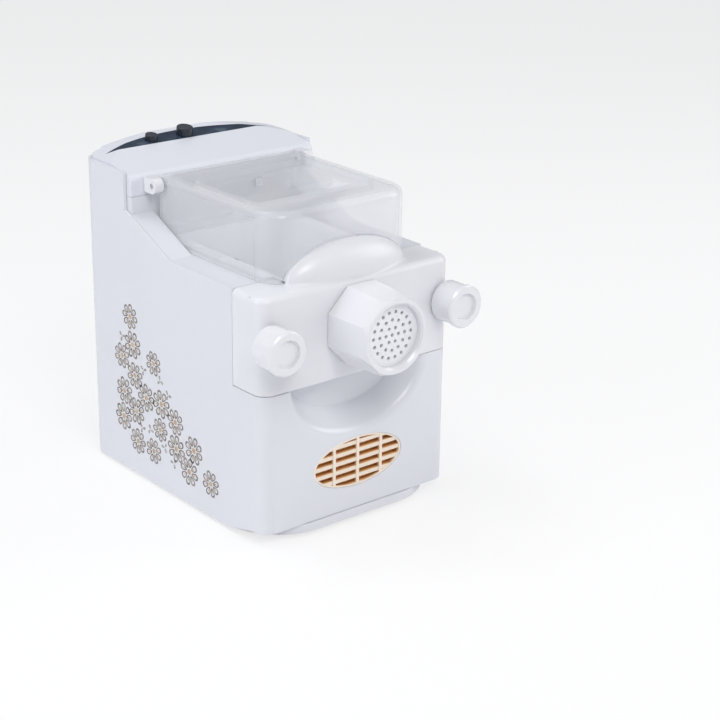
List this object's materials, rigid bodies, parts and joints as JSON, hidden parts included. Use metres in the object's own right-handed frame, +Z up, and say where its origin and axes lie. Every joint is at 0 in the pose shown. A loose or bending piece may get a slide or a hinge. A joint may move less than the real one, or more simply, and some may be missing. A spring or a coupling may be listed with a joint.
{
  "type": "electric pasta maker",
  "caption": "Countertop electric pasta maker that mixes dough under a see-through hinged lid and presses noodles out through a die in the nozzle.",
  "frame": {"origin": "middle of the overall footprint, on the surface that the machine stands on", "axes": "+Z up, -Y towards the front with the nozzle, +X to the right seen from the front"},
  "size_m": [0.241, 0.338, 0.3158],
  "materials": {
    "white_shell": "satin",
    "white_cover": "gloss",
    "white_head": "satin",
    "white_knob": "gloss",
    "white_base": "satin",
    "clear_lid": "gloss",
    "tub_plastic": "satin",
    "white_mixer": "satin",
    "dark_panel": "gloss",
    "control_dark": "gloss",
    "louvre_cream": "satin",
    "filter_foam": "matte",
    "inner_plastic": "matte",
    "gear_plastic": "satin",
    "steel": "satin",
    "stator_steel": "matte",
    "zinc_plate": "satin",
    "brass": "satin",
    "rubber_grey": "matte",
    "seal_silicone": "matte",
    "board_green": "matte",
    "component_black": "matte"
  },
  "bodies": {
    "machine": {"main_housing": "white_shell", "rear_cover": "white_shell", "rear_screws": "steel", "top_deck": "white_shell", "tower_head": "white_head", "control_panel": "dark_panel", "head_screws": "steel", "selector_switch": "component_black", "start_switch": "component_black", "control_board": "board_green", "base_tray": "white_base", "rubber_feet": "rubber_grey", "base_screws": "steel", "vent_grille": "louvre_cream", "air_filter": "filter_foam", "threaded_inserts": "brass", "mixing_tub": "tub_plastic", "tub_seal": "seal_silicone", "shaft_seal": "rubber_grey", "output_bearings": "brass", "gear_pin": "steel", "gearbox_plate": "zinc_plate", "gearbox_cover": "inner_plastic", "gearbox_screws": "steel", "motor_screws": "steel", "motor_can": "zinc_plate", "motor_end_cap": "inner_plastic", "motor_stator": "stator_steel", "motor_cradle": "inner_plastic", "hinge_bracket_left": "white_knob", "hinge_bracket_right": "white_knob", "hinge_pins": "steel", "lid_sensor": "component_black", "power_board": "board_green", "power_transformer": "component_black", "power_capacitors": "component_black", "mains_inlet": "component_black", "inlet_pins": "brass"},
    "front_cover": {"front_cover": "white_cover", "die_disc": "white_mixer", "die_seal": "seal_silicone"},
    "die_nut": {"die_nut": "white_knob"},
    "clamp_left": {"clamp_knob_left": "white_knob", "clamp_stud_left": "steel"},
    "clamp_right": {"clamp_knob_right": "white_knob", "clamp_stud_right": "steel"},
    "mixer": {"mixing_shaft": "white_mixer", "output_shaft": "steel", "output_gear": "gear_plastic"},
    "reduction": {"reduction_gear": "gear_plastic"},
    "motor": {"motor_rotor": "stator_steel", "motor_pinion": "steel", "motor_fan": "inner_plastic"},
    "lid": {"lid": "clear_lid", "lid_magnet": "steel"},
    "selector": {"selector_knob": "control_dark", "selector_shaft": "inner_plastic"},
    "start_button": {"start_button": "control_dark"}
  },
  "joints": [
    {"name": "cover_slide", "type": "slide", "parent": "machine", "child": "front_cover", "axis": [0, -1, 0], "range_m": [0, 0.08]},
    {"name": "die_nut_turn", "type": "hinge", "parent": "front_cover", "child": "die_nut", "pos_m": [0, -0.145, 0.191], "axis": [0, -1, 0], "range_deg": [0, 720]},
    {"name": "clamp_left_turn", "type": "hinge", "parent": "front_cover", "child": "clamp_left", "pos_m": [-0.1005, -0.133, 0.191], "axis": [0, -1, 0], "range_deg": [0, 1080]},
    {"name": "clamp_right_turn", "type": "hinge", "parent": "front_cover", "child": "clamp_right", "pos_m": [0.1005, -0.133, 0.191], "axis": [0, -1, 0], "range_deg": [0, 1080]},
    {"name": "lid_hinge", "type": "hinge", "parent": "machine", "child": "lid", "pos_m": [0, 0.07, 0.287], "axis": [-1, 0, 0], "range_deg": [0, 95]},
    {"name": "motor_spin", "type": "hinge", "parent": "machine", "child": "motor", "pos_m": [0, 0.046, 0.079], "axis": [0, -1, 0], "continuous": true},
    {"name": "reduction_spin", "type": "hinge", "parent": "machine", "child": "reduction", "pos_m": [0, 0.11, 0.133], "axis": [0, -1, 0], "continuous": true},
    {"name": "mixer_spin", "type": "hinge", "parent": "machine", "child": "mixer", "pos_m": [0, 0, 0.191], "axis": [0, -1, 0], "continuous": true},
    {"name": "selector_turn", "type": "hinge", "parent": "machine", "child": "selector", "pos_m": [0, 0.15, 0.3067], "axis": [0, -0.1763, 0.9843], "range_deg": [0, 300]},
    {"name": "start_press", "type": "slide", "parent": "machine", "child": "start_button", "axis": [0, 0.1763, -0.9843], "range_m": [0, 0.0012], "stiffness_N_per_m": 600}
  ],
  "couplings": [
    {"joint": "reduction_spin", "follows": "motor_spin", "ratio": -0.2},
    {"joint": "mixer_spin", "follows": "motor_spin", "ratio": 0.052174}
  ]
}
